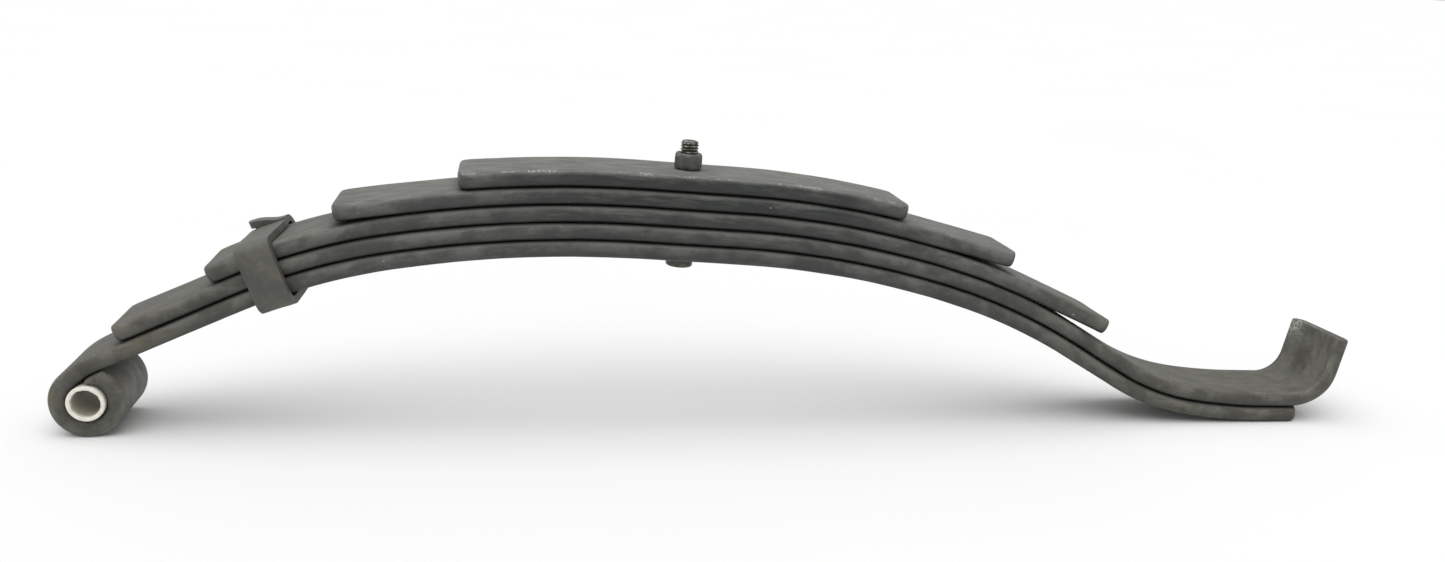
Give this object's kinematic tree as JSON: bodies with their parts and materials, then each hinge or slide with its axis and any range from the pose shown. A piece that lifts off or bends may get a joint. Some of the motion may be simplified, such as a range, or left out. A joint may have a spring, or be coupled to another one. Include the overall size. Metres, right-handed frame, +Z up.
{
  "type": "leaf spring",
  "caption": "Slipper leaf spring standing arch up: stacked flat leaves with a bushed rolled eye at one end, an upturned hook at the other, a strap clip and a centre bolt.",
  "frame": {"origin": "centre of the bounding box on the floor that the spring stands on, arch up, on its eye and its slipper end", "axes": "+X along the spring from the bushed eye towards the hook, +Y across the leaves, +Z up, from the main leaf towards the short leaf"},
  "size_m": [0.6972, 0.0552, 0.1522],
  "materials": {
    "leaf_paint": "satin dark grey paint over mill scale, dusty",
    "clip_paint": "satin dark grey paint, brownish dust",
    "bolt_steel": "oiled dark steel thread, bright crests",
    "nut_steel": "painted dark grey",
    "bush_nylon": "off-white moulded nylon"
  },
  "bodies": {
    "centre": {"main_leaf_centre": "leaf_paint", "second_leaf_centre": "leaf_paint", "third_leaf_centre": "leaf_paint", "fourth_leaf_centre": "leaf_paint", "fifth_leaf": "leaf_paint", "centre_bolt": "bolt_steel", "centre_nut": "nut_steel"},
    "front_arm": {"main_leaf_front_arm": "leaf_paint", "second_leaf_front_arm": "leaf_paint", "third_leaf_front_arm": "leaf_paint", "fourth_leaf_front_arm": "leaf_paint", "eye_bushing": "bush_nylon", "rebound_clip": "clip_paint"},
    "rear_arm": {"main_leaf_rear_arm": "leaf_paint", "second_leaf_rear_arm": "leaf_paint", "third_leaf_rear_arm": "leaf_paint", "fourth_leaf_rear_arm": "leaf_paint"}
  },
  "joints": [
    {"name": "front_flex", "type": "hinge", "parent": "centre", "child": "front_arm", "pos_m": [-0.13436, 0, 0.11029], "axis": [0, 1, 0], "range_deg": [-2, 12], "stiffness_Nm_per_rad": 2500},
    {"name": "rear_flex", "type": "hinge", "parent": "centre", "child": "rear_arm", "pos_m": [0.06741, 0, 0.09902], "axis": [0, -1, 0], "range_deg": [-2, 12], "stiffness_Nm_per_rad": 2500}
  ]
}
